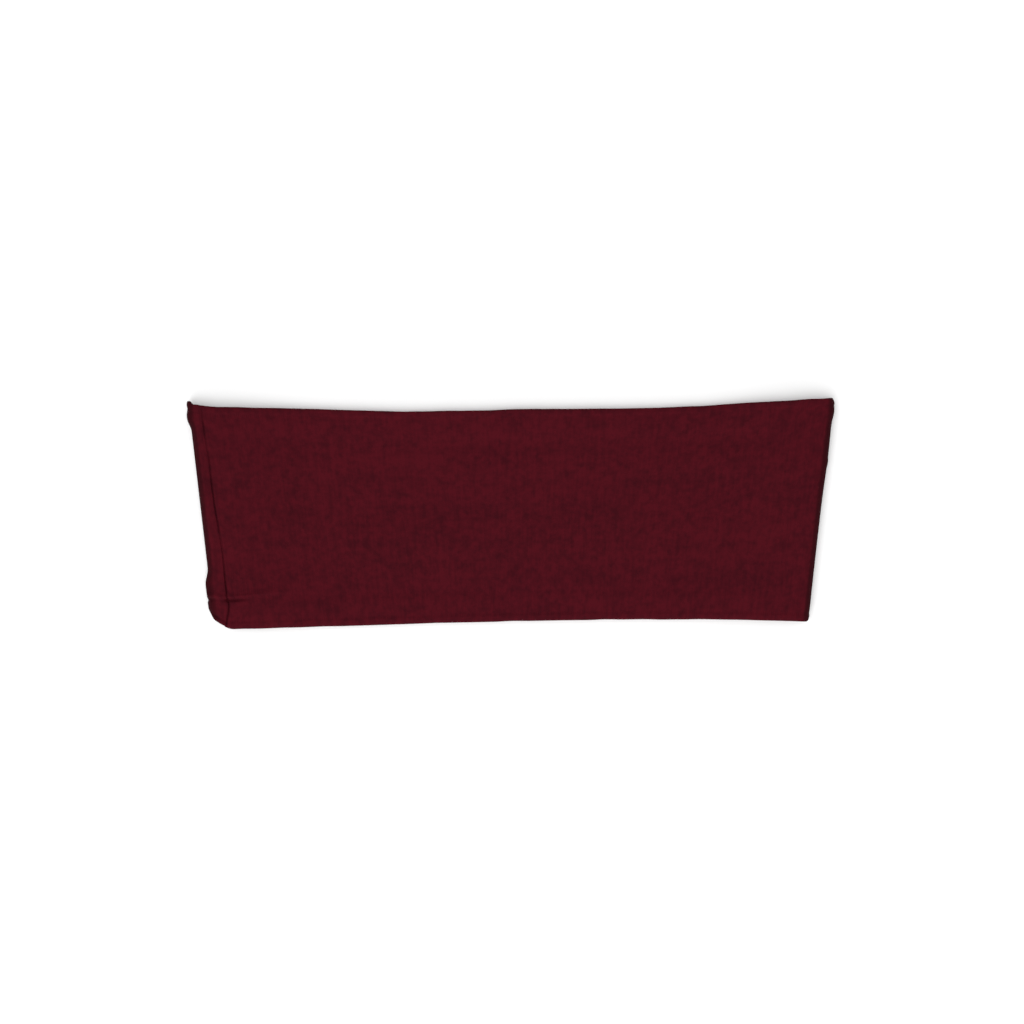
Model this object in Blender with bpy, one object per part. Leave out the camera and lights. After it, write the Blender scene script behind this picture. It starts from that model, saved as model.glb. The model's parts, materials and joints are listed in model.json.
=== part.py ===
"""Wide jersey headband, lying flat and folded in two. Metres, +Z up.

The band is a loop of two plies: an outer ply and a lining ply, sewn together along both long edges and
turned, with the seam allowances between them. It lies on its back half, so the front half is on top, and the
loop turns back on itself at a soft fold at each end. The origin is the centre of the underside. +X runs along
the band and +Y across it.

Jersey is one soft sheet all the way round. Here each half is three stiff panels, so the loop can open from
flat to a six-sided ring: the panels turn about four bends and two folds, and each hinge's empty stands on its
own axis. The panel in the middle of the front half is in two, and its two pieces come together the same way at
every opening.
"""

import math

import bmesh
import bpy
from mathutils import Vector

MM = 0.001

# Driving dimensions of the flat band.
HALF_LENGTH = 115.0 * MM  # centre to fold line, half-way up the band
HALF_WIDTH_TOP = 38.3 * MM  # centre line to the top edge, at mid-length
HALF_WIDTH_BOTTOM = 40.0 * MM
WIDTH = HALF_WIDTH_TOP + HALF_WIDTH_BOTTOM
FLARE_TOP = 3.25 * MM  # how much further out the edge stands at the ends of the band
FLARE_BOTTOM = 1.6 * MM
FOLD_LEAN = 0.122  # run of the fold lines outwards, for each unit towards the top edge
BEND_SHARE = 1 / 3  # the bends stand at this share of the way to the fold lines
CORNER_RADIUS = 8.0 * MM  # of the bottom left corner, where the cloth is pushed in
CORNER_TRIM = 0.8  # share of the full round that the corner has

# Layers, each measured through the thickness.
PLY = 0.55 * MM
GAP = 0.3 * MM  # air between any two layers
ALLOWANCE = 0.8 * MM  # two turned-in edges, pressed together
HALF_STACK = 2 * PLY + 2 * GAP + ALLOWANCE
BETWEEN_HALVES = 0.5 * MM
FOLD_HEIGHT = HALF_STACK + BETWEEN_HALVES / 2  # of the fold line over the table
PANEL_GAP = 0.5 * MM
BEND_RISE = 0.05 * MM  # of the bends' axes over the top of the back half

# Soft end folds: the front half stands higher near its ends, and comes down towards the middle.
FOLD_DEPTH = 3.5 * MM  # of the round of the fold, along the band
END_TOP = 8.4 * MM  # height of the band at its ends
END_FLAT_TO = 20.0 * MM  # from the fold line
END_DOWN_BY = 45.0 * MM

# Seams along the edges.
EDGE_INSET = 1.0 * MM  # of the allowance, from the edge
EDGE_ALLOWANCE_WIDTH = 7.0 * MM
EDGE_START = 24.0 * MM  # from the fold line: the allowance is trimmed away at the folds
EDGE_RAMP = 3.0 * MM
OVERLOCK_RADIUS = 0.25 * MM
OVERLOCK_OFFSET = 0.65 * MM  # from the allowance's cut edge to the thread's centre line
EDGE_BULK_TO = EDGE_INSET + EDGE_ALLOWANCE_WIDTH + 2 * OVERLOCK_OFFSET
SEAM_DEPTH = PLY + GAP + ALLOWANCE / 2  # of the allowances' middle, inside the outer face

# The join seam, across the front half near the left fold.
JOIN_SEAM_AT = 6.0 * MM  # from the fold line
JOIN_ALLOWANCE_WIDTH = 6.0 * MM
JOIN_BULK_TO = JOIN_SEAM_AT + JOIN_ALLOWANCE_WIDTH + 2 * OVERLOCK_OFFSET
JOIN_RAMP = 2.5 * MM
JOIN_END_CLEARANCE = 3.0 * MM
CLOSING_LENGTH = 32.0 * MM
STITCH_RADIUS = 0.25 * MM

# How finely the sheets are divided.
FOLD_STEPS = 5
CORNER_STEPS = 3
DOWN_STEPS = 5
MIDDLE_STEPS = 4
INNER_ROWS = (0.34, 0.5, 0.66)  # shares of the width
SHARP_ANGLE = math.radians(40)

END_PANELS = ("back_left", "back_right", "front_left", "front_right")
MIDDLE_PANELS = {  # the part of the way from the left bend (-1) to the right bend (1) that each covers
    "back_middle": (-1, 1),
    "front_middle_left": (-1, 0),
    "front_middle_right": (0, 1),
}


# ---------------------------------------------------------------- outline of the flat band

def fold_x(side, y):
    """The fold line's x at y. side is -1 on the left and 1 on the right."""
    return side * (HALF_LENGTH + FOLD_LEAN * y)


def bend_x(side, y):
    return BEND_SHARE * fold_x(side, y)


def corner_trim(x):
    """How far the rounded bottom left corner lifts the bottom edge at x."""
    into = CORNER_RADIUS - (HALF_LENGTH + x)
    if into <= 0:
        return 0.0
    return CORNER_TRIM * (CORNER_RADIUS - math.sqrt(CORNER_RADIUS**2 - into**2))


def edge_y(share, x):
    """The y at x of the line this share of the way from the bottom edge (0) to the top edge (1)."""
    out = (x / HALF_LENGTH) ** 2
    top = HALF_WIDTH_TOP + FLARE_TOP * out
    bottom = -HALF_WIDTH_BOTTOM - FLARE_BOTTOM * out + corner_trim(x)
    return bottom + share * (top - bottom)


def smooth(value, start, end):
    t = min(1.0, max(0.0, (value - start) / (end - start)))
    return t * t * (3 - 2 * t)


# ---------------------------------------------------------------- where each layer lies

def face_height(front, from_fold):
    """How far the half's outer face is from the fold line's height, past the round of the fold."""
    if not front:
        return FOLD_HEIGHT
    middle_top = 2 * FOLD_HEIGHT
    drop = smooth(from_fold, END_FLAT_TO, END_DOWN_BY)
    return END_TOP + drop * (middle_top - END_TOP) - FOLD_HEIGHT


def seam_room(panel, from_fold, share):
    """How much of the allowance's room the lining leaves here: 1 over a seam, 0 where the plies lie close."""
    from_edge = min(share, 1 - share) * WIDTH
    edge = 1 - smooth(from_edge, EDGE_BULK_TO, EDGE_BULK_TO + EDGE_RAMP)
    edge *= smooth(from_fold, EDGE_START - EDGE_RAMP - GAP, EDGE_START - GAP)
    if panel != "front_left":
        return edge
    join = 1 - smooth(from_fold, JOIN_BULK_TO, JOIN_BULK_TO + JOIN_RAMP)
    return max(edge, join)


def layer_point(panel, depth, extra, from_fold, turn, share):
    """A point depth inside the outer face, plus extra where a seam allowance needs room.

    turn runs from 0 at the fold line to 1 where the round of the fold ends. Past that, from_fold says how far
    along the point is.
    """
    side = 1 if panel.endswith("right") else -1
    front = panel.startswith("front")
    inside = depth + extra * seam_room(panel, from_fold, share)
    if turn < 1:
        angle = turn * math.pi / 2
        reach = FOLD_DEPTH - (FOLD_DEPTH - inside) * math.cos(angle)
        rise = max((face_height(front, 0.0) - inside) * math.sin(angle), GAP / 2)
    else:
        reach = from_fold
        rise = face_height(front, from_fold) - inside
    y = edge_y(share, side * (HALF_LENGTH - reach))
    x = fold_x(side, y) - side * reach
    up = 1 if front else -1
    return Vector((x, y, FOLD_HEIGHT + up * rise))


def middle_point(panel, depth, extra, along, share):
    """The same on a middle panel. along runs from 0 at its left end to 1 at its right end."""
    start, end = MIDDLE_PANELS[panel]
    y = edge_y(share, (start + along * (end - start)) * BEND_SHARE * HALF_LENGTH)
    left = start * bend_x(1, y) + PANEL_GAP / 2
    right = end * bend_x(1, y) - PANEL_GAP / 2
    inside = depth + extra * seam_room(panel, HALF_LENGTH, share)
    up = 1 if panel.startswith("front") else -1
    return Vector((left + along * (right - left), y, FOLD_HEIGHT + up * (FOLD_HEIGHT - inside)))


# ---------------------------------------------------------------- mesh helpers

def material(name, colour, roughness):
    made = bpy.data.materials.new(name)
    made.use_nodes = True
    shader = made.node_tree.nodes["Principled BSDF"]
    shader.inputs["Base Color"].default_value = (*colour, 1.0)
    shader.inputs["Roughness"].default_value = roughness
    shader.inputs["Metallic"].default_value = 0.0
    return made


def place(obj, body, made_of):
    """Hangs a world-space object on its body's empty, so that its origin lies on the hinge axis."""
    pivot = PIVOTS[body]
    to_pivot = pivot.matrix_world.inverted()
    if obj.type == "MESH":
        obj.data.transform(to_pivot)
    else:
        for point in obj.data.splines[0].points:
            point.co = (to_pivot @ point.co.xyz).to_4d()
    obj.data.materials.append(made_of)
    obj.parent = pivot


def sheet(name, body, made_of, columns, thickness):
    """A sheet through columns of points, thickened equally to both sides."""
    mesh = bpy.data.meshes.new(name)
    bm = bmesh.new()
    grid = [[bm.verts.new(point) for point in column] for column in columns]
    for left, right in zip(grid, grid[1:]):
        for low in range(len(left) - 1):
            bm.faces.new((left[low], right[low], right[low + 1], left[low + 1]))
    bmesh.ops.recalc_face_normals(bm, faces=bm.faces)
    bm.to_mesh(mesh)
    bm.free()
    obj = bpy.data.objects.new(name, mesh)
    bpy.context.collection.objects.link(obj)
    place(obj, body, made_of)
    solidify = obj.modifiers.new("thickness", "SOLIDIFY")
    solidify.thickness = thickness
    solidify.offset = 0.0
    solidify.use_even_offset = True
    mesh.shade_smooth()
    mesh.set_sharp_from_angle(angle=SHARP_ANGLE)


def thread(name, body, made_of, points, radius):
    curve = bpy.data.curves.new(name, "CURVE")
    curve.dimensions = "3D"
    spline = curve.splines.new("POLY")
    spline.points.add(len(points) - 1)
    for slot, point in zip(spline.points, points):
        slot.co = (*point, 1.0)
    curve.bevel_depth = radius
    curve.bevel_resolution = 1
    curve.use_fill_caps = True
    obj = bpy.data.objects.new(name, curve)
    bpy.context.collection.objects.link(obj)
    place(obj, body, made_of)


# ---------------------------------------------------------------- rows and columns of the sheets

def edge_shares():
    """Shares of the width that the sheets have a row of points at: close together over the edge seams."""
    inner = (EDGE_BULK_TO, EDGE_BULK_TO + EDGE_RAMP / 2, EDGE_BULK_TO + EDGE_RAMP)
    low = [0.0, *(distance / WIDTH for distance in inner)]
    return low + list(INNER_ROWS) + [1 - share for share in reversed(low)]


def down_marks():
    """Distances from the fold line over which the front half comes down."""
    run = END_DOWN_BY - END_FLAT_TO
    return [END_FLAT_TO + run * step / DOWN_STEPS for step in range(1, DOWN_STEPS + 1)]


def run_distances(panel):
    """Distances from the fold line of an end panel's columns, past the round of the fold."""
    marks = [FOLD_DEPTH]
    if panel.endswith("left"):
        run = CORNER_RADIUS - FOLD_DEPTH
        marks += [FOLD_DEPTH + run * step / CORNER_STEPS for step in range(1, CORNER_STEPS + 1)]
    if panel == "front_left":
        marks += [JOIN_BULK_TO, JOIN_BULK_TO + JOIN_RAMP / 2, JOIN_BULK_TO + JOIN_RAMP]
    ramp_end = EDGE_START - GAP
    marks += [ramp_end - EDGE_RAMP, ramp_end - EDGE_RAMP / 2, ramp_end]
    if panel.startswith("front"):
        marks += down_marks()
    return sorted(marks)


def end_columns(panel, depth, extra, shares):
    columns = []
    for step in range(FOLD_STEPS):
        turn = step / FOLD_STEPS
        columns.append([layer_point(panel, depth, extra, 0.0, turn, share) for share in shares])
    for distance in run_distances(panel):
        columns.append([layer_point(panel, depth, extra, distance, 1, share) for share in shares])
    columns.append([bend_point(panel, depth, extra, share) for share in shares])
    return columns


def bend_point(panel, depth, extra, share):
    """A point of the last column of an end panel, half the panel gap short of the bend line."""
    side = 1 if panel.endswith("right") else -1
    y = edge_y(share, BEND_SHARE * HALF_LENGTH)
    reach = abs(fold_x(side, y) - bend_x(side, y)) - PANEL_GAP / 2
    height = layer_point(panel, depth, extra, reach, 1, share).z
    return Vector((bend_x(side, y) + side * PANEL_GAP / 2, y, height))


def middle_columns(panel, depth, extra, shares):
    columns = []
    for step in range(MIDDLE_STEPS + 1):
        along = step / MIDDLE_STEPS
        columns.append([middle_point(panel, depth, extra, along, share) for share in shares])
    return columns


# ---------------------------------------------------------------- sub-parts

def make_plies(panel):
    lining_depth = PLY + GAP + PLY / 2
    columns = middle_columns if panel in MIDDLE_PANELS else end_columns
    shares = edge_shares()
    outer = columns(panel, PLY / 2, 0.0, shares)
    lining = columns(panel, lining_depth, ALLOWANCE + GAP, shares)
    sheet(panel + "_outer_ply", panel, OUTER, outer, PLY)
    sheet(panel + "_lining_ply", panel, LINING, lining, PLY)


def seam_run(panel, share):
    """Points between the plies at one share of the width, along the part of a panel that has edge seams."""
    if panel in MIDDLE_PANELS:
        steps = range(MIDDLE_STEPS + 1)
        return [middle_point(panel, SEAM_DEPTH, 0.0, step / MIDDLE_STEPS, share) for step in steps]
    distances = [EDGE_START]
    if panel.startswith("front"):
        distances += [mark for mark in down_marks() if mark > EDGE_START + MM]
    run = [layer_point(panel, SEAM_DEPTH, 0.0, distance, 1, share) for distance in distances]
    return run + [bend_point(panel, SEAM_DEPTH, 0.0, share)]


def make_edge_seam(panel, edge):
    """The turned-in edges of both plies, and the overlock thread along their cut edge."""
    near = EDGE_INSET / WIDTH
    far = (EDGE_INSET + EDGE_ALLOWANCE_WIDTH) / WIDTH
    stitched = far + OVERLOCK_OFFSET / WIDTH
    if edge == "top":
        near, far, stitched = 1 - near, 1 - far, 1 - stitched
    columns = list(zip(seam_run(panel, near), seam_run(panel, far)))
    sheet(f"{panel}_{edge}_seam_allowance", panel, TURNED_IN, columns, ALLOWANCE)
    points = seam_run(panel, stitched)
    thread(f"{panel}_{edge}_seam_thread", panel, THREAD, points, OVERLOCK_RADIUS)


def make_join_seam():
    """Where the ends of the band meet: its allowance, its thread, and the row that closes the turning gap."""
    panel = "front_left"
    low = JOIN_END_CLEARANCE / WIDTH
    shares = [low + (1 - 2 * low) * step / 6 for step in range(7)]
    far = JOIN_SEAM_AT + JOIN_ALLOWANCE_WIDTH

    def line(reach, places):
        return [layer_point(panel, SEAM_DEPTH, 0.0, reach, 1, share) for share in places]

    columns = [line(JOIN_SEAM_AT, shares), line(far, shares)]
    sheet("join_seam_allowance", panel, TURNED_IN, columns, ALLOWANCE)
    points = line(JOIN_SEAM_AT - OVERLOCK_OFFSET, shares)
    thread("join_seam_thread", panel, THREAD, points, STITCH_RADIUS)
    closing = [low + CLOSING_LENGTH / WIDTH * step / 3 for step in range(4)]
    points = line(far + OVERLOCK_OFFSET, closing)
    thread("turning_gap_stitches", panel, THREAD, points, STITCH_RADIUS)


# ---------------------------------------------------------------- hinge axes

def pivot(name, parent, location, lean):
    """An empty on a hinge axis, turned so that its own Y lies along the axis."""
    empty = bpy.data.objects.new(name, None)
    empty.empty_display_size = 10 * MM
    bpy.context.collection.objects.link(empty)
    empty.parent = parent
    world = Vector(location)
    turn = -math.atan(lean)
    if parent is None:
        empty.location = world
        empty.rotation_euler = (0, 0, turn)
    else:
        empty.location = parent.matrix_world.inverted() @ world
        empty.rotation_euler = (0, 0, turn - parent.matrix_world.to_euler().z)
    bpy.context.view_layer.update()
    return empty


def make_pivots():
    lean = BEND_SHARE * FOLD_LEAN
    back_z = FOLD_HEIGHT - BETWEEN_HALVES / 2 + BEND_RISE
    front_z = 2 * FOLD_HEIGHT - back_z
    root = pivot("headband", None, (0, 0, 0), 0)
    left = pivot("bend_back_left", root, (bend_x(-1, 0), 0, back_z), -lean)
    right = pivot("bend_back_right", root, (bend_x(1, 0), 0, back_z), lean)
    left_fold = pivot("fold_left", left, (fold_x(-1, 0), 0, FOLD_HEIGHT), -FOLD_LEAN)
    right_fold = pivot("fold_right", right, (fold_x(1, 0), 0, FOLD_HEIGHT), FOLD_LEAN)
    front_left = pivot("bend_front_left", left_fold, (bend_x(-1, 0), 0, front_z), -lean)
    front_right = pivot("bend_front_right", right_fold, (bend_x(1, 0), 0, front_z), lean)
    return {
        "back_middle": root,
        "back_left": left,
        "back_right": right,
        "front_left": left_fold,
        "front_middle_left": front_left,
        "front_right": right_fold,
        "front_middle_right": front_right,
    }


for old in list(bpy.data.objects):
    bpy.data.objects.remove(old, do_unlink=True)

OUTER = material("jersey_outer", (0.0685, 0.0060, 0.0110), 0.85)
LINING = material("jersey_lining", (0.0590, 0.0052, 0.0095), 0.88)
TURNED_IN = material("turned_in_edges", (0.0520, 0.0046, 0.0084), 0.9)
THREAD = material("sewing_thread", (0.0800, 0.0080, 0.0140), 0.6)

PIVOTS = make_pivots()
for each in (*END_PANELS, *MIDDLE_PANELS):
    make_plies(each)
    make_edge_seam(each, "top")
    make_edge_seam(each, "bottom")
make_join_seam()
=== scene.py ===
"""Looks of the wide jersey headband: its two plies as continuous knitted cloth, cut into segments along the
CAD bodies. Segments on one body are parented to it, and the rest are baked in place. Lengths are in metres,
and MM turns a number of millimetres into metres.

Every layer of cloth is a grid that runs once round the loop: its columns cross the band and its rows run
along it. The loop starts in the middle of the back half and goes to the left fold, along the front half to
the right fold, and back to where it started. Outwards is the way that the outer ply faces.
"""

import json
import math

import bpy
import numpy as np
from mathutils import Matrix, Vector


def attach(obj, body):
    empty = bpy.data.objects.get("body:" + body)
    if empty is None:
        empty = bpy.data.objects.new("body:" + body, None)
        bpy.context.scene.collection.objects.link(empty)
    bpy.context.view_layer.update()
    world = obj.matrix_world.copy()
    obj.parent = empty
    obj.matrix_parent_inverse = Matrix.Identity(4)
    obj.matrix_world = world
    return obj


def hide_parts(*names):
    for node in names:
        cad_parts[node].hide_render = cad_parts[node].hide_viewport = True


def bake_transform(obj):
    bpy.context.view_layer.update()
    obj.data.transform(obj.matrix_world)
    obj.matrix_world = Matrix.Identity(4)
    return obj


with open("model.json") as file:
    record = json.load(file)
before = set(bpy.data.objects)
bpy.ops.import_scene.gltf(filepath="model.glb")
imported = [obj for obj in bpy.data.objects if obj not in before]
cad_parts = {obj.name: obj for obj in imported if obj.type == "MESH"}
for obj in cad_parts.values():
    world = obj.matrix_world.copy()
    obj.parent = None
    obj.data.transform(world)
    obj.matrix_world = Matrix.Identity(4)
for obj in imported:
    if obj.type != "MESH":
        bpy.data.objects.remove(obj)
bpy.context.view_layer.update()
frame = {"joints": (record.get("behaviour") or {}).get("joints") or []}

MM = 0.001
JOINTS = {joint["name"]: joint for joint in frame["joints"]}

# The band's outline. The hinges of the CAD model give the fold lines and the bends.
HALF_LENGTH = abs(JOINTS["fold_left"]["pos_m"][0])
FOLD_HEIGHT = JOINTS["fold_left"]["pos_m"][2]
BEND_AT = abs(JOINTS["bend_back_left"]["pos_m"][0])
BEND_LEAN = abs(JOINTS["bend_back_left"]["axis"][0] / JOINTS["bend_back_left"]["axis"][1])
HALF_WIDTH_TOP = 38.2 * MM
HALF_WIDTH_BOTTOM = 40.2 * MM
WIDTH = HALF_WIDTH_TOP + HALF_WIDTH_BOTTOM
TOP_SKEW, TOP_FLARE = 0.45 * MM, 2.85 * MM  # the cut isn't quite even from end to end
BOTTOM_SKEW, BOTTOM_FLARE, BOTTOM_TURN = 1.5 * MM, 1.6 * MM, 0.9 * MM
TOP_WAVE, TOP_WAVE_LENGTH, TOP_CREST = 0.28 * MM, 88 * MM, 8 * MM
LEFT_LEAN = 0.109
RIGHT_LEAN = 0.126
RIGHT_BOW = 0.15  # per metre: the right fold line bends outwards a little at both ends

# Small features of the outline. Along a fold their places are in y, and along an edge from the fold tip.
LEFT_EAR, LEFT_EAR_FROM, LEFT_EAR_FADES = 1.17 * MM, (31.5 * MM, 36.0 * MM), (36.5 * MM, 40.5 * MM)
LEFT_EAR_RISE, LEFT_EAR_LENGTH = 1.35 * MM, 1.3 * MM
LEFT_SHOULDER_RISE, LEFT_SHOULDER_END = 0.85 * MM, (2.0 * MM, 11.5 * MM)
LEFT_FULLNESS, FULLNESS_FROM, FULLNESS_FADES = 1.5 * MM, (-19.5 * MM, -26.0 * MM), (-33.0 * MM, -38.0 * MM)
LEFT_NICK, LEFT_NICK_AT, LEFT_NICK_WIDTH = 0.8 * MM, -31.3 * MM, 0.6 * MM
LEFT_CORNER_RADIUS, LEFT_CORNER_SHARE = 7.5 * MM, 0.85
LEFT_TUCK, LEFT_TUCK_FROM, LEFT_TUCK_FADES = 0.7 * MM, (0.3 * MM, 2.0 * MM), (4.0 * MM, 8.0 * MM)
RIGHT_KNOB, RIGHT_KNOB_AT, RIGHT_KNOB_WIDTH = 0.5 * MM, 36.5 * MM, 2.6 * MM
RIGHT_CORNER_PULL, RIGHT_CORNER_FROM = 0.55 * MM, (39.5 * MM, 42.0 * MM)
RIGHT_FULLNESS, RIGHT_FULLNESS_AT, RIGHT_FULLNESS_WIDTH = 0.3 * MM, 19.0 * MM, 10.0 * MM
RIGHT_BUMP, RIGHT_BUMP_AT, RIGHT_BUMP_WIDTH = 0.35 * MM, 17.8 * MM, 0.9 * MM
RIGHT_EAR_RISE, RIGHT_EAR_LENGTH = 0.25 * MM, 2.5 * MM
RIGHT_CORNER_RADIUS, RIGHT_CORNER_SHARE = 1.0 * MM, 0.3
PUSH_LENGTH = 4.5 * MM  # how far along the band a pushed-out fold fades
EDGE_WAVE, EDGE_WAVE_SHARE = 0.12 * MM, 0.06  # the edges waver, in the outermost rows only

# Layers of cloth.
PLY = 0.5 * MM
TABLE_CLEARANCE = 0.05 * MM
THICK_MIDDLE = 1.6 * MM  # both plies, where nothing lies between them
THICK_EDGE = 2.3 * MM  # over the turned-in edges
THICK_JOIN = 2.1 * MM  # over the join seam's turned-in ends
EDGE_BULK = (8.0 * MM, 12.0 * MM)  # the turned-in edges' width, and where their step has faded
ALLOWANCE_INSET = 1.4 * MM  # where the turned-in edges start, inside the rolled edge
BULK_FROM_FOLD = (16.0 * MM, 26.0 * MM)
ROLL = 1.1 * MM  # the edge's round, across the band
SEAM_DIP = 0.35 * MM  # how far the seam line sits inside the rolled edge
SEAM_LIP = 0.2 * MM
SEAM_GAP = 0.03 * MM  # how far each ply's rolled edge stays from the middle of the thickness
TURNED_IN_GAP = 0.1 * MM  # between a ply and the turned-in edges
EDGE_LIFT = 0.62  # how much of the turned-in edges' thickness shows on the front half, as a share

# The soft folds at the two ends, and how the front half comes down from them.
FOLD_DEPTH = 3.8 * MM  # the length of the fold's round along the band
FOLD_SQUARE = 2.1  # exponent of the fold's round: 2 is an ellipse, and more is squarer
FOLD_PUSHED = 0.3 * MM  # the left fold stands this much further out all the way
END_TOP = 7.8 * MM  # the height of the front half's face at its ends
FRONT_MIDDLE_TOP = 4.45 * MM  # and in the middle
END_DOWN = (6.0 * MM, 50.0 * MM)  # where it comes down, from the fold tip

# The join seam on the front half, near the left fold, and the crease above the bottom edge that crosses it.
SEAM_AT = 5.55 * MM
SEAM_LEAN = -0.02
SEAM_ALLOWANCE = 5.5 * MM
JOIN_FROM_SEAM, JOIN_INSET = 0.9 * MM, 3.0 * MM  # where the turned-in ends start, from the seam and the edges
CREASE_AT = -31.4 * MM
CREASE_ABOVE_EDGE = 10.0 * MM
CREASE_RISE, CREASE_RISES = 1.9 * MM, (7.0 * MM, 28.0 * MM)  # it climbs this much, this far from the fold

# The grids.
NOSE_COLUMNS = 10
SEAM_COLUMN = 0.12 * MM
SEAM_COLUMNS = 10
FINE_COLUMN = 0.4 * MM
FINE_TO = 13.0 * MM
COLUMN = 1.3 * MM
ROW = 1.3 * MM
FINE_ROW = 0.35 * MM
FINE_ROWS = {"bottom": 12, "top": 6, "crease": 7}  # from an edge, and to either side of the crease
ROLL_ROWS = 6
DIPPED = 1.25  # the roll of the row at the seam line, past a full quarter turn

# How the cloth turns between the CAD bodies.
BEND_LENGTH = 24.0 * MM  # along the band
BEND_INSIDE_FRONT, BEND_INSIDE_BACK = 0.5, 0.2  # the share of that length between the hinge and the middle
FOLD_TURN = (1.75 * MM, 5.6 * MM)  # up through a fold: the back half's body below, the front half's above


# ---------------------------------------------------------------- small functions

def smooth(value, start, end):
    """0 before start and 1 after end, with a soft step between them."""
    t = np.clip((value - start) / (end - start), 0, 1)
    return t * t * (3 - 2 * t)


def bell(value, centre, width):
    """1 at the centre, and close to 0 two widths away from it."""
    return np.exp(-(((value - centre) / width) ** 2))


class SoftNoise:
    """Smooth noise over a plane, between -1 and 1, the same on every run."""

    CORNERS = 64  # the noise repeats after this many

    def __init__(self, seed, size_x, size_y):
        self.grid = np.random.default_rng(seed).uniform(-1, 1, (self.CORNERS, self.CORNERS))
        self.size_x, self.size_y = size_x, size_y

    def corner(self, column, row):
        return self.grid[column % self.CORNERS, row % self.CORNERS]

    def at(self, x, y):
        x, y = x / self.size_x, y / self.size_y
        column, row = np.floor(x).astype(int), np.floor(y).astype(int)
        tx, ty = x - column, y - row
        tx, ty = tx * tx * (3 - 2 * tx), ty * ty * (3 - 2 * ty)
        low = self.corner(column, row) * (1 - tx) + self.corner(column + 1, row) * tx
        high = self.corner(column, row + 1) * (1 - tx) + self.corner(column + 1, row + 1) * tx
        return low * (1 - ty) + high * ty


# ---------------------------------------------------------------- outline

def fold_out(side, y):
    """How far the fold line stands from the middle at y, on that side."""
    if side > 0:
        return HALF_LENGTH + RIGHT_LEAN * y + RIGHT_BOW * y**2
    return HALF_LENGTH + LEFT_LEAN * y


def fold_push(side, y):
    """How far the cloth at the very fold is pushed out past its line: ears at the top, a fullness above the
    crease at the left, and the nick where the crease comes out."""
    if side > 0:
        knob = RIGHT_KNOB * bell(y, RIGHT_KNOB_AT, RIGHT_KNOB_WIDTH)
        corner = RIGHT_CORNER_PULL * smooth(y, *RIGHT_CORNER_FROM)
        fullness = RIGHT_FULLNESS * bell(y, RIGHT_FULLNESS_AT, RIGHT_FULLNESS_WIDTH)
        return knob - corner + fullness + RIGHT_BUMP * bell(y, RIGHT_BUMP_AT, RIGHT_BUMP_WIDTH)
    ear = LEFT_EAR * smooth(y, *LEFT_EAR_FROM) * (1 - 0.5 * smooth(y, *LEFT_EAR_FADES))
    fullness = LEFT_FULLNESS * smooth(y, *FULLNESS_FROM) * (1 - 0.6 * smooth(y, *FULLNESS_FADES))
    return FOLD_PUSHED + ear + fullness - LEFT_NICK * bell(y, LEFT_NICK_AT, LEFT_NICK_WIDTH)


def rounded_corner(reach, radius):
    """How far a corner of that radius pulls the edge in, this far along from the fold tip."""
    into = np.clip(radius - reach, 0, radius)
    return radius - np.sqrt(radius**2 - into**2)


def edges_y(side, front, reach):
    """The bottom and top edge's y, this far along from the fold tip."""
    x = side * np.clip(HALF_LENGTH - reach, 0, HALF_LENGTH)
    share = x / HALF_LENGTH
    wave = TOP_WAVE * np.cos(2 * math.pi * (x - TOP_CREST) / TOP_WAVE_LENGTH)
    top = HALF_WIDTH_TOP + TOP_SKEW * share + TOP_FLARE * share**2 + wave
    bottom = -HALF_WIDTH_BOTTOM + BOTTOM_SKEW * share - BOTTOM_FLARE * share**2 - BOTTOM_TURN * share**3
    if side < 0:
        top = top + LEFT_EAR_RISE * np.exp(-((reach / LEFT_EAR_LENGTH) ** 3))
        top = top + LEFT_SHOULDER_RISE * (1 - smooth(reach, *LEFT_SHOULDER_END))
        bottom = bottom + LEFT_CORNER_SHARE * rounded_corner(reach, LEFT_CORNER_RADIUS)
        if front:
            tuck = smooth(reach, *LEFT_TUCK_FROM) * (1 - smooth(reach, *LEFT_TUCK_FADES))
            bottom = bottom + LEFT_TUCK * tuck
    else:
        top = top + RIGHT_EAR_RISE * np.exp(-reach / RIGHT_EAR_LENGTH)
        bottom = bottom + RIGHT_CORNER_SHARE * rounded_corner(reach, RIGHT_CORNER_RADIUS)
    return bottom, top


# ---------------------------------------------------------------- columns and rows

def make_columns():
    """(turn, reach) of the columns from a fold tip to the middle of the band. turn is the share of the fold's
    round."""
    nose = [(step / NOSE_COLUMNS, 0.0) for step in range(NOSE_COLUMNS)]
    half = SEAM_COLUMNS / 2 * SEAM_COLUMN
    before = np.linspace(FOLD_DEPTH, SEAM_AT - half, 4)[:-1]
    seam = np.linspace(SEAM_AT - half, SEAM_AT + half, SEAM_COLUMNS + 1)
    after = np.arange(seam[-1] + FINE_COLUMN, FINE_TO, FINE_COLUMN)
    coarse = np.linspace(FINE_TO, HALF_LENGTH, round((HALF_LENGTH - FINE_TO) / COLUMN))
    return nose + [(1.0, reach) for reach in (*before, *seam, *after, *coarse)]


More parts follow.
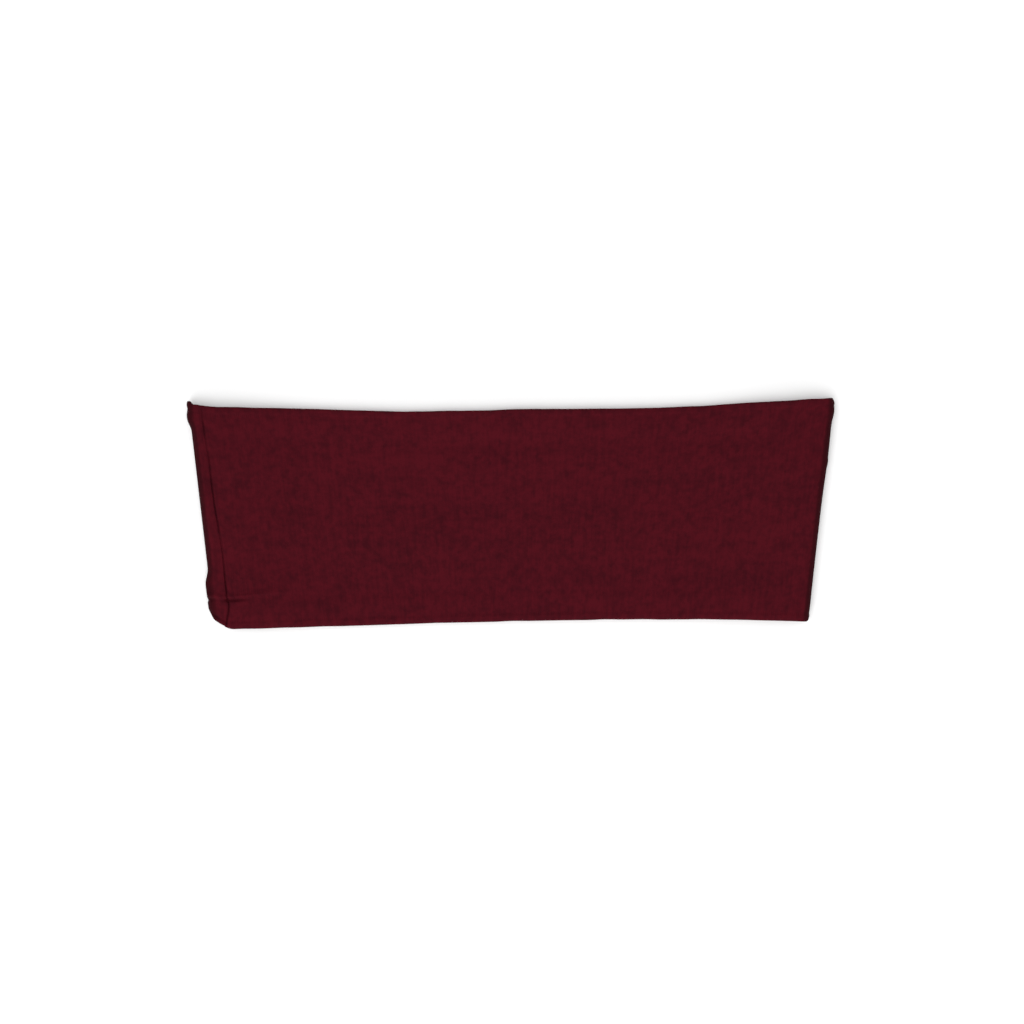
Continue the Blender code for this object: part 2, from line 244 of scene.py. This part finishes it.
def make_rows():
    """(share, roll) of the rows from the bottom seam line to the top one. share is across the flat of the
    band, and roll is 0 on the flat, 1 at the end of the edge's quarter turn and DIPPED at the seam line."""
    width = WIDTH - 2 * ROLL
    crease = (CREASE_ABOVE_EDGE - ROLL) / width
    fine = FINE_ROW / width
    near = [crease + step * fine for step in range(-FINE_ROWS["crease"], FINE_ROWS["crease"] + 1)]
    low = [step * fine for step in range(FINE_ROWS["bottom"])]
    high = [1 - step * fine for step in range(FINE_ROWS["top"])]
    even = np.linspace(0, 1, round(width / ROW))
    between = [share for share in even if low[-1] + fine < share < high[-1] - fine]
    coarse = [share for share in between if not near[0] - fine < share < near[-1] + fine]
    flat = sorted(near + low + high + coarse)
    rolls = [step / ROLL_ROWS for step in range(1, ROLL_ROWS + 1)] + [DIPPED]
    bottom = [(0.0, roll) for roll in reversed(rolls)]
    top = [(1.0, roll) for roll in rolls]
    return bottom + [(share, 0.0) for share in flat] + top


COLUMNS = make_columns()
ROWS = make_rows()
TURN = np.array([turn for turn, _ in COLUMNS])[:, None]
RUN = np.array([reach for _, reach in COLUMNS])[:, None]
SHARE = np.array([share for share, _ in ROWS])[None, :]
ROLLED = np.array([roll for _, roll in ROWS])[None, :]
SWING = np.minimum(ROLLED, 1) * math.pi / 2
PAST_ROLL = np.clip((ROLLED - 1) / (DIPPED - 1), 0, 1)
OUTWARD = np.where(SHARE < 0.5, -1.0, 1.0) * (ROLLED > 0)


# ---------------------------------------------------------------- relief of the cloth

LONG_RIPPLES = SoftNoise(11, 46 * MM, 9 * MM)
SHORT_RIPPLES = SoftNoise(12, 17 * MM, 6 * MM)
PUCKERS = SoftNoise(13, 7 * MM, 3.2 * MM)
EDGE_WAVES = SoftNoise(14, 7.5 * MM, 1.0)
DITCH_DEPTHS = SoftNoise(15, 1.0, 9 * MM)
PRESSING = SoftNoise(16, 60 * MM, 25 * MM)
LONG_RIPPLE, SHORT_RIPPLE = 0.26 * MM, 0.07 * MM  # heights
BACK_SHIFT = 0.9  # the back half takes its ripples from another part of the same noise
# Where each step is across the band, and how much it rises.
PRESSED_STEPS = (
    (30.0 * MM, 0.28 * MM),
    (22.0 * MM, -0.28 * MM),
    (14.0 * MM, 0.26 * MM),
    (-3.0 * MM, -0.24 * MM),
    (-14.5 * MM, 0.22 * MM),
    (-27.0 * MM, -0.22 * MM),
)
STEP_HALF = 3.5 * MM  # half of the length over which a step rises
DITCH_WIDTH = 0.27 * MM
DITCH_DEPTH, DITCH_UNEVEN = 0.62 * MM, 0.3 * MM
CREASE_WIDTH = 0.4 * MM
CREASE_DEPTH, CREASE_DEEPER = 0.2 * MM, 1.0 * MM  # on its own, and added where the seam's bulk lies under it
SHOULDER = 0.75 * MM
TUCK_DEPTH, TUCK_WIDTH, TUCK_ABOVE_EDGE = 0.8 * MM, 0.5 * MM, 2.0 * MM


def ripples(x, y, front):
    """Low, long swells of loose cloth, with soft steps along the front half where it was pressed."""
    shift = 0.0 if front else BACK_SHIFT
    swell = LONG_RIPPLE * LONG_RIPPLES.at(x + 0.35 * y + shift, y + shift)
    if front:
        pressed = 0.7 + 0.5 * PRESSING.at(x, y)
        for at, rise in PRESSED_STEPS:
            swell = swell + rise * pressed * smooth(y, at - STEP_HALF, at + STEP_HALF)
    return swell + SHORT_RIPPLE * SHORT_RIPPLES.at(x + shift, y - 0.2 * x + shift)


def seam_line(y):
    """How far the join seam is from the left fold line. Below the crease it jogs and runs to the corner."""
    jog = 0.35 * MM * smooth(y, LEFT_NICK_AT, LEFT_NICK_AT - 1 * MM)
    bow = 0.35 * MM * bell(y, 20 * MM, 7 * MM) + 0.6 * MM * bell(y, -12 * MM, 12 * MM)
    return SEAM_AT + SEAM_LEAN * y + jog + bow - 2.0 * MM * smooth(y, -32.5 * MM, -42 * MM)


def groove(off, width, power):
    """The section of a sharp ditch, 1 at its middle."""
    return np.exp(-(np.abs(off / width) ** power))


def seam_relief(off, y):
    """The join seam's ditch and rims, the bulk of its turned-in ends, and puckers. off is from the seam."""
    deep = DITCH_DEPTH + DITCH_UNEVEN * DITCH_DEPTHS.at(0 * y, y)
    deep = deep * (1 - 0.75 * smooth(y, 33 * MM, 37.5 * MM))
    rims = 0.16 * MM * bell(off, 0.95 * MM, 0.6 * MM) + 0.05 * MM * bell(off, -0.9 * MM, 0.6 * MM)
    ended = smooth(off, SEAM_ALLOWANCE - 1 * MM, SEAM_ALLOWANCE + 6 * MM)
    bulk = 0.22 * MM * smooth(off, 0, 0.8 * MM) * (1 - ended)
    pucker = 0.14 * MM * PUCKERS.at(off * 0.4, y) * np.exp(-np.abs(off) / (5 * MM))
    return rims + bulk + pucker - deep * groove(off, DITCH_WIDTH, 1.3)


def crease_relief(reach, off, y):
    """The crease, deepest where it crosses the join seam, and the shoulder of cloth above it."""
    line = CREASE_AT + CREASE_RISE * smooth(reach, *CREASE_RISES) + 0.8 * MM * (1 - smooth(reach, 0, 5 * MM))
    over = y - line
    near_seam = smooth(off, -2.5 * MM, 0) * (1 - smooth(off, 3.5 * MM, 11 * MM))
    deep = (CREASE_DEPTH + CREASE_DEEPER * near_seam) * (1 - smooth(reach, 10 * MM, 20 * MM))
    shoulder = SHOULDER * (1 - smooth(reach, 16 * MM, 34 * MM)) * bell(over, 1.1 * MM, 0.9 * MM)
    pinch = 0.35 * MM * bell(off, 0, 1.2 * MM) * bell(over, 0, 0.9 * MM)
    return shoulder - pinch - deep * groove(over, CREASE_WIDTH, 1.3)


def tuck_relief(reach, y, bottom):
    """The cloth tucked in at the corner below the crease."""
    corner = (1 - smooth(reach, 3.5 * MM, 6.5 * MM)) * smooth(y, -32 * MM, -34.5 * MM)
    return -TUCK_DEPTH * corner * groove(y - bottom - TUCK_ABOVE_EDGE, TUCK_WIDTH, 1.4)


def join_relief(reach, y, bottom):
    """The relief of the front half's left end: the join seam, the crease that crosses it, and the tuck."""
    off = reach - seam_line(y)
    return seam_relief(off, y) + crease_relief(reach, off, y) + tuck_relief(reach, y, bottom)


# ---------------------------------------------------------------- one quarter of the band

class Quarter:
    """The outer face from a fold tip to the middle of the band, on the back or the front half. The arrays are
    columns by rows: where each point is, how thick the band is there, and the relief that the cloth adds."""

    def __init__(self, side, front):
        self.joined = front and side < 0
        angle = TURN * math.pi / 2
        round_in = 1 - np.maximum(np.cos(angle), 0) ** (2 / FOLD_SQUARE)
        along = np.where(TURN < 1, FOLD_DEPTH * round_in, RUN)
        bottom, top = edges_y(side, front, along)
        wave = EDGE_WAVES.at(side * (HALF_LENGTH - along), SHARE + 2 * front)
        wave = wave * smooth(along, 2 * MM, 9 * MM)
        near_edge = smooth(SHARE, EDGE_WAVE_SHARE, 0) + smooth(SHARE, 1 - EDGE_WAVE_SHARE, 1)
        rolled = OUTWARD * (ROLL * np.sin(SWING) - SEAM_DIP * PAST_ROLL)
        flat = bottom + ROLL + SHARE * (top - bottom - 2 * ROLL)
        self.y = flat + rolled + EDGE_WAVE * wave * near_edge
        if self.joined:  # the columns near the join seam follow its lean
            half = SEAM_COLUMNS / 2 * SEAM_COLUMN
            before = np.clip((along - FOLD_DEPTH) / (SEAM_AT - half - FOLD_DEPTH), 0, 1)
            past = np.clip((along - SEAM_AT - half) / (FINE_TO - SEAM_AT - half), 0, 1)
            along = along + (seam_line(self.y) - SEAM_AT) * before * (1 - past)
        out = fold_out(side, self.y)
        far = smooth(along, 30 * MM, HALF_LENGTH)
        self.reach = along * (1 + far * (out / HALF_LENGTH - 1))
        push = fold_push(side, self.y) * (1 - smooth(along, 0, PUSH_LENGTH))
        self.x = side * (out - self.reach + push)
        from_edge = np.minimum(self.y - bottom, top - self.y)
        self.bulk = (1 - smooth(from_edge, *EDGE_BULK)) * smooth(self.reach, *BULK_FROM_FOLD)
        self.thick = self.thickness()
        self.z = self.height(front, angle)
        self.swell = self.swells(front, from_edge)
        self.seam = join_relief(self.reach, self.y, bottom) if self.joined else np.zeros_like(self.y)
        self.seam = self.seam * (1 - np.minimum(ROLLED, 1)) * smooth(self.reach, 0, 1.5 * MM)

    def thickness(self):
        """Through both plies and what is turned in between them."""
        thick = THICK_MIDDLE + (THICK_EDGE - THICK_MIDDLE) * self.bulk
        if self.joined:
            past = SEAM_AT + SEAM_ALLOWANCE
            over = smooth(self.reach, 3 * MM, 5 * MM) * (1 - smooth(self.reach, past, past + 3 * MM))
            thick = np.maximum(thick, THICK_MIDDLE + (THICK_JOIN - THICK_MIDDLE) * over)
        return thick

    def height(self, front, angle):
        """The outer face's height: round the fold first, and then along the half."""
        round_up = np.sin(angle) ** (2 / FOLD_SQUARE)
        if front:
            rounded = FOLD_HEIGHT + (END_TOP - FOLD_HEIGHT) * round_up
            flat = END_TOP + (FRONT_MIDDLE_TOP - END_TOP) * smooth(self.reach, *END_DOWN)
            flat = flat + EDGE_LIFT * (THICK_EDGE - THICK_MIDDLE) * self.bulk
        else:
            rounded = FOLD_HEIGHT - (FOLD_HEIGHT - TABLE_CLEARANCE) * round_up
            flat = TABLE_CLEARANCE
        return np.where(TURN < 1, rounded, flat) * np.ones_like(self.y)

    def swells(self, front, from_edge):
        """The loose cloth's swells along the outward normal. The table is under the back half, so it only
        lifts. The front half also has a low rim along its edges and its folds."""
        unrolled = 1 - np.minimum(ROLLED, 1)
        loose = smooth(self.reach, 2 * MM, 12 * MM) * (1 - 0.55 * self.bulk) * unrolled
        swell = ripples(self.x, self.y, front) * loose
        if not front:
            return -np.abs(swell)
        rim = 0.13 * MM * (bell(from_edge, 1.9 * MM, 0.6 * MM) - 0.8 * bell(from_edge, 3.1 * MM, 0.7 * MM))
        fold_rim = 0.12 * MM * bell(self.reach, 2.9 * MM, 0.8 * MM)
        return swell + (rim + fold_rim) * unrolled


# ---------------------------------------------------------------- the whole loop

class Loop:
    """The four quarters joined into one closed grid, and the faces of its layers."""

    def __init__(self):
        back_left, front_left = Quarter(-1, False), Quarter(-1, True)
        front_right, back_right = Quarter(1, True), Quarter(1, False)
        for name in ("x", "y", "z", "thick", "reach", "swell", "seam"):
            whole = (
                getattr(back_left, name)[::-1][:-1],
                getattr(front_left, name)[:-1],
                getattr(front_right, name)[::-1][:-1],
                getattr(back_right, name)[:-1],
            )
            setattr(self, name, np.concatenate(whole))
        across = np.stack([self.x, self.z])
        ahead = np.roll(across, -1, axis=1) - np.roll(across, 1, axis=1)
        ahead /= np.linalg.norm(ahead, axis=0)
        self.normal = np.stack([-ahead[1], np.zeros_like(self.x), ahead[0]], axis=-1)
        middle = len(ROWS) // 2
        step = np.linalg.norm(np.roll(across, -1, axis=1) - across, axis=0)[:, middle]
        self.u = np.concatenate([[0], np.cumsum(step)])
        rolled = OUTWARD * ROLL * (SWING + 0.4 * PAST_ROLL)
        self.v = (SHARE * (WIDTH - 2 * ROLL) + rolled)[0]

    def face(self, depth, inset, relief):
        """Points at a depth inside the outer face, inset from the edges, and moved outwards by relief."""
        points = np.stack([self.x, self.y - OUTWARD * inset, self.z], axis=-1)
        return points + self.normal * (relief - depth)[..., None]


LOOP = Loop()
QUARTER = len(COLUMNS) - 1
LEFT_TIP = QUARTER
FRONT_MIDDLE = 2 * QUARTER
RIGHT_TIP = 3 * QUARTER
# How many columns from a fold tip the segments part: between the fold and the bend, and just past the fold.
SPLIT = int(np.argmin(np.abs(RUN[:, 0] - HALF_LENGTH / 3)))
NOSE = int(np.argmin(np.abs(RUN[:, 0] - FINE_TO)))


def edge_depth(thick):
    """How deep the rolled edge of a ply goes, down to the seam line half-way through the band."""
    half = thick / 2 - SEAM_GAP
    return (half - SEAM_LIP) * (1 - np.cos(SWING)) + SEAM_LIP * PAST_ROLL


ROLL_DEPTH = edge_depth(LOOP.thick)
PLY_IN = PLY * np.cos(SWING)
PLY_INSET = PLY * np.sin(SWING)
LINING_RELIEF = 0.85 * LOOP.swell - 0.5 * LOOP.seam  # the seam's ditch shows on both faces
OUTER_RELIEF = LOOP.swell + LOOP.seam
LAYERS = {
    "outer_ply": (
        LOOP.face(ROLL_DEPTH, 0, OUTER_RELIEF),
        LOOP.face(ROLL_DEPTH + PLY_IN, PLY_INSET, OUTER_RELIEF),
    ),
    "lining_ply": (
        LOOP.face(LOOP.thick - ROLL_DEPTH - PLY_IN, PLY_INSET, LINING_RELIEF),
        LOOP.face(LOOP.thick - ROLL_DEPTH, 0, LINING_RELIEF),
    ),
    "turned_in": (
        LOOP.face(PLY + TURNED_IN_GAP, 0, OUTER_RELIEF),
        LOOP.face(LOOP.thick - PLY - TURNED_IN_GAP, 0, LINING_RELIEF),
    ),
}


# ---------------------------------------------------------------- meshes

def grid_normals(points):
    """Outward normals of a closed loop's grid."""
    ahead = np.roll(points, -1, axis=0) - np.roll(points, 1, axis=0)
    across = np.gradient(points, axis=1)
    normal = np.cross(ahead, across)
    return normal / np.maximum(np.linalg.norm(normal, axis=-1, keepdims=True), 1e-12)


def slab(name, layer, columns, rows, made_of):
    """A closed piece of a layer between two columns and two rows of the loop."""
    outside, inside = LAYERS[layer]
    index = np.arange(columns[0], columns[1] + 1) % len(outside)
    pick = (slice(None), slice(rows[0], rows[1] + 1))
    faces_of = (outside, inside)
    points = np.concatenate([face[index][pick].reshape(-1, 3) for face in faces_of])
    normals = np.concatenate(
        [sign * grid_normals(face)[index][pick].reshape(-1, 3) for sign, face in zip((1, -1), faces_of)]
    )
    wide, tall = len(index), rows[1] - rows[0] + 1
    at = np.arange(wide * tall).reshape(wide, tall)
    quads = np.stack([at[:-1, :-1], at[1:, :-1], at[1:, 1:], at[:-1, 1:]], axis=-1).reshape(-1, 4)
    under = quads[:, ::-1] + wide * tall
    rim = np.concatenate([at[:-1, 0], at[-1, :-1], at[:0:-1, -1], at[0, :0:-1]])
    following = np.roll(rim, -1)
    walls = np.stack([following, rim, rim + wide * tall, following + wide * tall], axis=-1)
    mesh = bpy.data.meshes.new(name)
    mesh.from_pydata(points.tolist(), [], np.concatenate([quads, under, walls]).tolist())
    u = np.repeat(LOOP.u[columns[0] : columns[1] + 1], tall)
    v = np.tile(LOOP.v[rows[0] : rows[1] + 1], wide)
    flat = np.tile(np.stack([u, v], axis=-1), (2, 1))
    corners = np.zeros(len(mesh.loops), np.int32)
    mesh.loops.foreach_get("vertex_index", corners)
    mesh.uv_layers.new(name="cloth").data.foreach_set("uv", flat[corners].astype(np.float32).ravel())
    mesh.shade_smooth()
    mesh.normals_split_custom_set_from_vertices(normals.tolist())
    mesh.validate()
    obj = bpy.data.objects.new(name, mesh)
    obj.data.materials.append(made_of)
    bpy.context.collection.objects.link(obj)
    return obj


# ---------------------------------------------------------------- materials

class Nodes:
    """Builds a material's nodes with short calls."""

    def __init__(self, name):
        self.material = bpy.data.materials.new(name)
        self.material.use_nodes = True
        self.tree = self.material.node_tree
        self.shader = self.tree.nodes["Principled BSDF"]

    def put(self, socket, value):
        if isinstance(value, bpy.types.NodeSocket):
            self.tree.links.new(value, socket)
        else:
            socket.default_value = value

    def math(self, operation, *values):
        node = self.tree.nodes.new("ShaderNodeMath")
        node.operation = operation
        for socket, value in zip(node.inputs, values):
            self.put(socket, value)
        return node.outputs[0]

    def noise(self, vector, scale, detail=2.0):
        node = self.tree.nodes.new("ShaderNodeTexNoise")
        node.inputs["Scale"].default_value = scale
        node.inputs["Detail"].default_value = detail
        self.put(node.inputs["Vector"], vector)
        return node.outputs["Fac"]

    def vector(self, x, y, z=0.0):
        node = self.tree.nodes.new("ShaderNodeCombineXYZ")
        for socket, value in zip(node.inputs, (x, y, z)):
            self.put(socket, value)
        return node.outputs[0]

    def mix(self, share, first, second):
        node = self.tree.nodes.new("ShaderNodeMix")
        node.data_type = "RGBA"
        self.put(node.inputs["Factor"], share)
        self.put(node.inputs["A"], first)
        self.put(node.inputs["B"], second)
        return node.outputs["Result"]

    def cloth_place(self):
        """The place on the flat cloth, in metres: along the band and across it."""
        node = self.tree.nodes.new("ShaderNodeUVMap")
        node.uv_map = "cloth"
        parts = self.tree.nodes.new("ShaderNodeSeparateXYZ")
        self.tree.links.new(node.outputs[0], parts.inputs[0])
        return parts.outputs[0], parts.outputs[1]

    def bump(self, height, strength, distance):
        node = self.tree.nodes.new("ShaderNodeBump")
        node.inputs["Strength"].default_value = strength
        node.inputs["Distance"].default_value = distance
        self.put(node.inputs["Height"], height)
        return node.outputs[0]


WALE = 0.72 * MM
COURSE = 0.5 * MM
LEG_SLANT = 0.6  # of a course: how far a stitch's legs rise from the middle of its wale
WANDER, WANDER_SCALE = 1.2, 55.0  # of a stitch, and per metre: the wales and courses aren't quite straight
FUZZ, FUZZ_SCALE = 0.5, 5200.0
STITCH_GAP_SHADE = 0.22  # painted shade: how much darker the gaps between the stitches are painted
MEAN_TONE = 0.4  # the dark colour's share
BUMP_STRENGTH, BUMP_HEIGHT = 0.45, 0.09 * MM
FOLD_SHADE_REACH = 6.0 * MM  # painted shade along the folds: the cloth's colour darkens this far to both sides of a fold line
FOLD_SHADE_SHARE, FOLD_SHADE_TONE = 0.75, 0.42  # how much of the painted shade's darker colour shows, and what share of dark it is
FOLD_SHADE_POWER = 8.0  # how suddenly the painted shade ends
# The yarn's unevenness: how strong, and how fine per metre along the band and across it. Wales of uneven
# yarn, flecks, patches, clouds and bands.
TONES = (
    (1.15, 800.0, 90.0),
    (1.1, 760.0, 700.0),
    (1.9, 330.0, 330.0),
    (1.0, 75.0, 110.0),
    (0.8, 7.0, 110.0),
)


def jersey(name, light, dark):
    """Fine single jersey: wales of V-shaped stitches across the band, slightly uneven in tone and height,
    with painted shade in the gaps between the stitches and along the two fold lines.
    """
    made = Nodes(name)
    u, v = made.cloth_place()
    slow = made.noise(made.vector(u, v), WANDER_SCALE)
    wander = made.math("MULTIPLY", made.math("SUBTRACT", slow, 0.5), WANDER)
    wale = made.math("ADD", made.math("DIVIDE", u, WALE), wander)
    course = made.math("ADD", made.math("DIVIDE", v, COURSE), wander)
    across = made.math("ABSOLUTE", made.math("SUBTRACT", made.math("FRACT", wale), 0.5))
    leg = made.math("MULTIPLY", across, 2.0)
    phase = made.math("ADD", course, made.math("MULTIPLY", leg, LEG_SLANT))
    stitch = made.math("ABSOLUTE", made.math("SINE", made.math("MULTIPLY", phase, math.pi)))
    ridge = made.math("SUBTRACT", 1.0, made.math("POWER", leg, 2.0))
    split = made.math("SUBTRACT", 1.0, made.math("POWER", made.math("SUBTRACT", 1.0, leg), 12.0))
    knit = made.math("MULTIPLY", made.math("ADD", ridge, made.math("MULTIPLY", stitch, 0.5)), split)
    fuzz = made.noise(made.vector(u, v), FUZZ_SCALE, 3.0)
    height = made.math("ADD", knit, made.math("MULTIPLY", fuzz, FUZZ))
    # painted shade in the gaps between the stitches; the yarn's uneven tone is added to it below
    tone = made.math("MULTIPLY", made.math("SUBTRACT", 1.0, knit), STITCH_GAP_SHADE)
    for weight, along, across_by in TONES:
        place = made.vector(made.math("MULTIPLY", u, along), made.math("MULTIPLY", v, across_by))
        uneven = made.math("SUBTRACT", made.noise(place, 1.0, 2.0), 0.5)
        tone = made.math("ADD", tone, made.math("MULTIPLY", uneven, weight))
    share = made.math("ADD", tone, MEAN_TONE)
    colour = made.mix(share, (*light, 1), (*dark, 1))
    # painted shade along both fold lines: a darker colour mixed in near each fold tip, where the cloth turns
    # away from the light
    pressed = [FOLD_SHADE_TONE * value for value in dark]
    for tip in (LEFT_TIP, RIGHT_TIP):
        from_tip = made.math("ABSOLUTE", made.math("SUBTRACT", u, float(LOOP.u[tip])))
        away = made.math("MINIMUM", made.math("DIVIDE", from_tip, FOLD_SHADE_REACH), 1.0)
        near = made.math("SUBTRACT", 1.0, made.math("POWER", away, FOLD_SHADE_POWER))
        colour = made.mix(made.math("MULTIPLY", near, FOLD_SHADE_SHARE), colour, (*pressed, 1))
    made.put(made.shader.inputs["Base Color"], colour)
    made.shader.inputs["Roughness"].default_value = 0.88
    made.shader.inputs["Specular IOR Level"].default_value = 0.03
    made.shader.inputs["Sheen Weight"].default_value = 0.01
    made.shader.inputs["Sheen Roughness"].default_value = 0.5
    made.shader.inputs["Sheen Tint"].default_value = (0.7, 0.2, 0.25, 1)
    made.put(made.shader.inputs["Normal"], made.bump(height, BUMP_STRENGTH, BUMP_HEIGHT))
    return made.material


def floor_material():
    made = Nodes("floor_paint")
    made.shader.inputs["Base Color"].default_value = (0.92, 0.92, 0.92, 1)
    made.shader.inputs["Roughness"].default_value = 0.9
    made.shader.inputs["Specular IOR Level"].default_value = 0.1
    return made.material


OUTER = jersey("jersey_outer", (0.062, 0.0039, 0.0080), (0.038, 0.0030, 0.0061))
LINING = jersey("jersey_lining", (0.057, 0.0036, 0.0074), (0.035, 0.0028, 0.0056))
TURNED_IN = jersey("turned_in_edges", (0.051, 0.0032, 0.0066), (0.031, 0.0025, 0.0050))


# ---------------------------------------------------------------- segments of the band

def bend_zone(side, front):
    """From inside the bend to outside it, half on either side of the hinge. At the back it is mostly outside,
    because the cloth lies on the table there. The parent body of the joint comes first."""
    out = Vector((side, -BEND_LEAN, 0)).normalized()
    hinge = Vector((side * BEND_AT, 0, FOLD_HEIGHT))
    inside = BEND_INSIDE_FRONT if front else BEND_INSIDE_BACK
    near, far = hinge - out * inside * BEND_LENGTH, hinge + out * (1 - inside) * BEND_LENGTH
    return (far, near) if front else (near, far)


def fold_zone(side):
    """Up through the fold, from above the back half's cloth to below the front half's."""
    return tuple(Vector((side * HALF_LENGTH, 0, height)) for height in FOLD_TURN)


# Name, first and last column, the bodies, and the zone that it turns in. With one body it rides on that.
SEGMENTS = (
    ("back_near_middle_left", 0, LEFT_TIP - SPLIT, "back_middle", "back_left", bend_zone(-1, False)),
    ("back_end_left", LEFT_TIP - SPLIT, LEFT_TIP - NOSE, "back_left", None, None),
    ("fold_left", LEFT_TIP - NOSE, LEFT_TIP + NOSE, "back_left", "front_left", fold_zone(-1)),
    ("front_end_left", LEFT_TIP + NOSE, LEFT_TIP + SPLIT, "front_left", None, None),
    ("front_near_middle_left", LEFT_TIP + SPLIT, FRONT_MIDDLE, "front_left", "front_middle_left",
     bend_zone(-1, True)),
    ("front_near_middle_right", FRONT_MIDDLE, RIGHT_TIP - SPLIT, "front_right", "front_middle_right",
     bend_zone(1, True)),
    ("front_end_right", RIGHT_TIP - SPLIT, RIGHT_TIP - NOSE, "front_right", None, None),
    ("fold_right", RIGHT_TIP - NOSE, RIGHT_TIP + NOSE, "back_right", "front_right", fold_zone(1)),
    ("back_end_right", RIGHT_TIP + NOSE, RIGHT_TIP + SPLIT, "back_right", None, None),
    ("back_near_middle_right", RIGHT_TIP + SPLIT, 4 * QUARTER, "back_middle", "back_right",
     bend_zone(1, False)),
)


def stands_for(segment):
    """The panels whose cloth the segment shows."""
    return [body for body in segment[3:5] if body]


def add_piece(name, layer, segment, rows, columns, made_of, nodes):
    """One piece of a layer. It rides on the segment's only body; with two bodies its place is only baked into
    the mesh.
    """
    body_a, body_b, zone = segment[3:]
    piece = slab(name, layer, columns, rows, made_of)
    if zone:
        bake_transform(piece)
    else:
        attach(piece, body_a)
    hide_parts(*nodes)
    return piece


def add_plies(segment):
    """The segment's outer ply and lining ply, across the whole band."""
    name = segment[0]
    rows = (0, len(ROWS) - 1)
    for layer, shift, made_of, slot in (
        ("outer_ply", 1, OUTER, "jersey_outer"),
        ("lining_ply", -1, LINING, "jersey_lining"),
    ):
        # At the open middle each ply ends a column to its own side, so that it covers the other's cut.
        first, last = (at + shift if at == FRONT_MIDDLE else at for at in segment[1:3])
        nodes = [f"{panel}_{layer}" for panel in stands_for(segment)]
        piece = add_piece(f"{name}_{layer}", layer, segment, rows, (first, last), made_of, nodes)


def flat_rows(low, high):
    """The first and last flat row between those distances from the bottom edge, at mid-length."""
    places = SHARE[0] * (WIDTH - 2 * ROLL) + ROLL
    found = [row for row, place in enumerate(places) if low <= place <= high and ROLLED[0, row] == 0]
    return found[0], found[-1]


def add_edge_allowances(segment):
    """The turned-in edges of both plies, from where they are trimmed at the fold; the CAD parts of their
    threads are hidden.
    """
    name, first, last = segment[:3]
    reach = LOOP.reach[np.arange(first, last + 1) % len(LOOP.reach), len(ROWS) // 2]
    inside = [first + step for step, value in enumerate(reach) if value >= BULK_FROM_FOLD[1]]
    for edge, rows in (
        ("bottom", flat_rows(ALLOWANCE_INSET, EDGE_BULK[0])),
        ("top", flat_rows(WIDTH - EDGE_BULK[0], WIDTH - ALLOWANCE_INSET)),
    ):
        panels = stands_for(segment)
        nodes = [f"{panel}_{edge}_seam_{kind}" for panel in panels for kind in ("allowance", "thread")]
        columns = (inside[0], inside[-1])
        called = f"{name}_{edge}_allowance"
        add_piece(called, "turned_in", segment, rows, columns, TURNED_IN, nodes)


def add_join_allowance():
    """The turned-in ends of both plies at the join seam; the CAD parts of its thread and the turning gap's
    stitches are hidden.
    """
    segment = next(each for each in SEGMENTS if each[0] == "front_end_left")
    reach = LOOP.reach[:, len(ROWS) // 2]
    low, high = SEAM_AT + JOIN_FROM_SEAM, SEAM_AT + SEAM_ALLOWANCE
    columns = [LEFT_TIP + step for step in range(SPLIT) if low <= reach[LEFT_TIP + step] <= high]
    rows = flat_rows(JOIN_INSET, WIDTH - JOIN_INSET)
    nodes = ("join_seam_allowance", "join_seam_thread", "turning_gap_stitches")
    ends = (columns[0], columns[-1])
    add_piece("join_allowance", "turned_in", segment, rows, ends, TURNED_IN, nodes)


for each in SEGMENTS:
    add_plies(each)
    if not each[0].startswith("fold"):
        add_edge_allowances(each)
add_join_allowance()


# ---------------------------------------------------------------- floor, light and camera

FLOOR_SIZE, FLOOR_DROP = 6.0, 0.2 * MM
LENS, SENSOR = 85.0, 36.0  # millimetres
FRAME_WIDTH, FRAME_HEIGHT = 380.4 * MM, 4.0 * MM  # what the picture shows across, at that height
CAMERA_OFF = (0.17 * MM, 0.34 * MM)  # from straight above the origin
CAMERA_TURN = -0.47  # degrees


def add_floor():
    bpy.ops.mesh.primitive_plane_add(size=FLOOR_SIZE, location=(0, 0, -FLOOR_DROP))
    floor = bpy.context.object
    floor.name = "floor"
    floor.data.materials.append(floor_material())


def add_light(name, place, size, power):
    """A square soft light of that size and power, turned to the band."""
    data = bpy.data.lights.new(name, "AREA")
    data.shape = "SQUARE"
    data.size = size
    data.energy = power
    lamp = bpy.data.objects.new(name, data)
    lamp.location = place
    lamp.rotation_euler = (-Vector(place)).to_track_quat("-Z", "Y").to_euler()
    bpy.context.collection.objects.link(lamp)


def add_lighting():
    world = bpy.data.worlds.new("studio")
    world.use_nodes = True
    world.node_tree.nodes["Background"].inputs["Color"].default_value = (1, 1, 1, 1)
    world.node_tree.nodes["Background"].inputs["Strength"].default_value = 0.85
    bpy.context.scene.world = world
    add_light("key", place=(-0.2, -0.3, 1.5), size=1.2, power=10.5)
    add_light("low", place=(-0.4, -1.4, 0.7), size=0.7, power=9.0)


def add_camera():
    """Straight above, as the photograph is taken, with the band turned half a degree in the frame."""
    data = bpy.data.cameras.new("camera")
    data.lens = LENS
    data.sensor_width = SENSOR
    camera = bpy.data.objects.new("camera", data)
    camera.location = (*CAMERA_OFF, FRAME_WIDTH * LENS / SENSOR + FRAME_HEIGHT)
    camera.rotation_euler = (0, 0, math.radians(CAMERA_TURN))
    bpy.context.collection.objects.link(camera)
    bpy.context.scene.camera = camera


add_floor()
add_lighting()
add_camera()
bpy.context.scene.view_settings.view_transform = "Standard"
